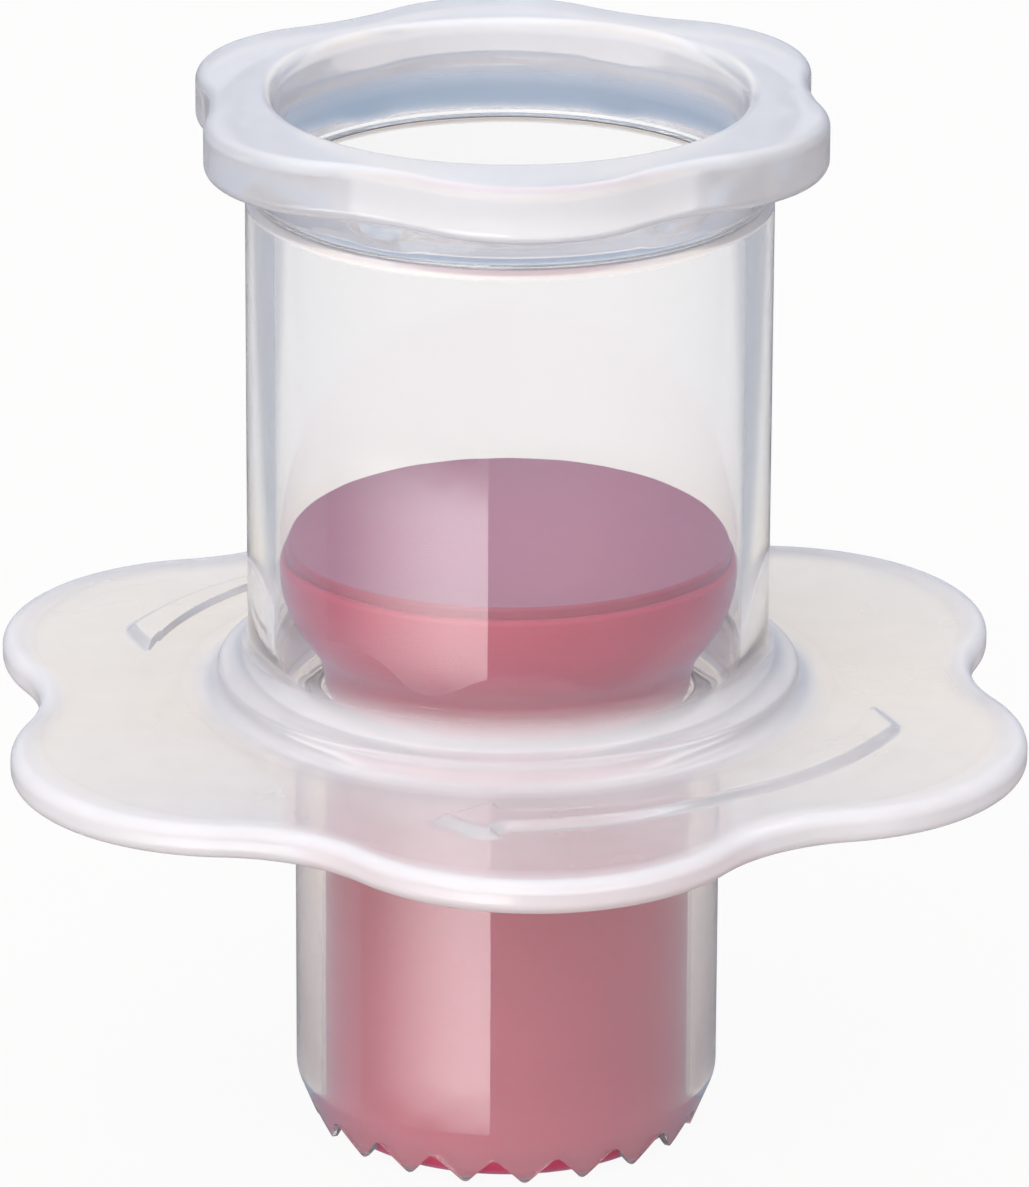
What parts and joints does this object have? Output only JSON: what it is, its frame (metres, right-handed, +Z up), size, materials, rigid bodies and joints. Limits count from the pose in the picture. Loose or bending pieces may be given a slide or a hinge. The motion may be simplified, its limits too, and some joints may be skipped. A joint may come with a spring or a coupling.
{
  "type": "cupcake corer",
  "caption": "Cupcake corer: a clear toothed cutting tube under a flower-shaped stop flange, a barrel with a flower collar, and a red plunger that slides inside to push the cake core out.",
  "frame": {"origin": "on the tool's axis, at the level of the tooth tips, where it stands on a table", "axes": "+Z up the axis from the teeth to the collar, one flange lobe towards -Y (the front), +X to the right"},
  "size_m": [0.0702, 0.0762, 0.0758],
  "materials": {
    "milky_plastic": "translucent milky white moulded plastic, glossy",
    "red_plastic": "opaque red moulded plastic, semi-gloss"
  },
  "bodies": {
    "corer": {"corer_body": "milky_plastic", "rim_collar": "milky_plastic"},
    "plunger": {"plunger_cup": "red_plastic", "plunger_cap": "red_plastic"}
  },
  "joints": [
    {"name": "plunger_slide", "type": "slide", "parent": "corer", "child": "plunger", "axis": [0, 0, 1], "range_m": [-0.0029, 0.03]}
  ]
}
